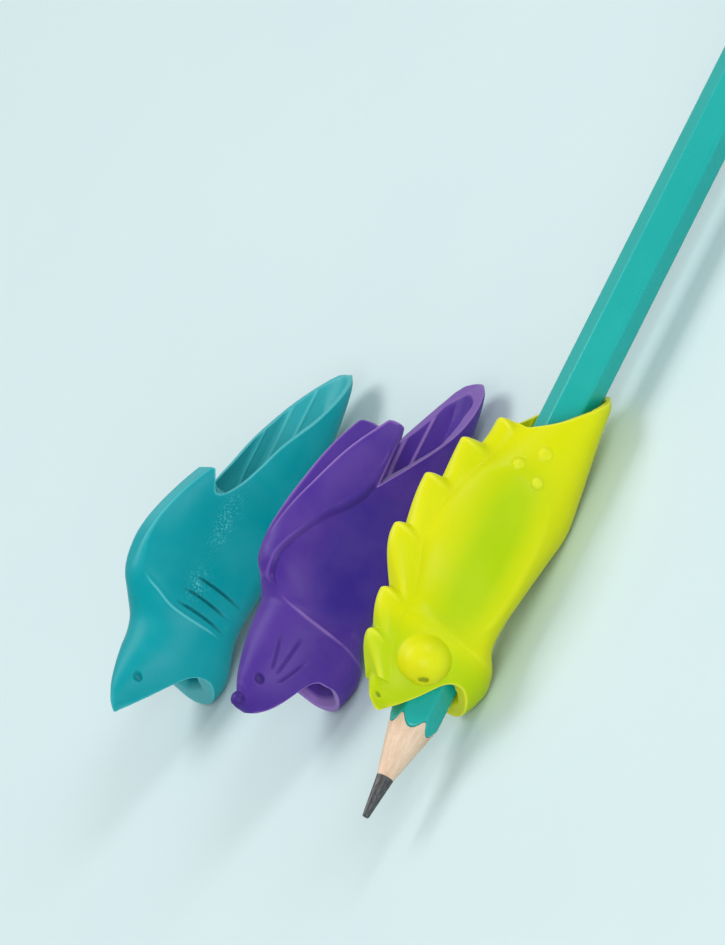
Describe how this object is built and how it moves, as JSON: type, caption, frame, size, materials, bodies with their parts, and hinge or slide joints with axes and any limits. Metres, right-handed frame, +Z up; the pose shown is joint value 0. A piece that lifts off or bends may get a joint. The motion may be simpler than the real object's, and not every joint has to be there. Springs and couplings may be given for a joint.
{
  "type": "pencil grip",
  "caption": "Soft animal-shaped finger-guide pencil grips with six-sided through bores and slanted rear scoops; one sits on a sharpened wooden pencil.",
  "frame": {"origin": "on the table, below the middle of the pencil's length and on the mouse grip's middle plane", "axes": "+X from the noses to the tails, along the bores; +Z up from the table; the shark is at +Y and the chameleon at -Y"},
  "size_m": [0.132, 0.095, 0.0244],
  "materials": {
    "shark_grip": "satin soft-touch",
    "mouse_grip": "satin soft-touch",
    "chameleon_grip": "satin soft-touch",
    "pencil_lead": "dull graphite",
    "casing": "bare sharpened wood",
    "pencil_lacquer": "gloss paint"
  },
  "bodies": {
    "grips": {"shark_grip": "shark_grip", "mouse_grip": "mouse_grip", "chameleon_grip": "chameleon_grip"},
    "pencil": {"pencil_lead": "pencil_lead", "pencil_upper_slat": "casing", "pencil_lower_slat": "casing", "pencil_lacquer": "pencil_lacquer"}
  },
  "joints": [
    {"name": "pencil_slide", "type": "slide", "parent": "grips", "child": "pencil", "axis": [1, 0, 0], "range_m": [-0.05, 0.03]}
  ]
}
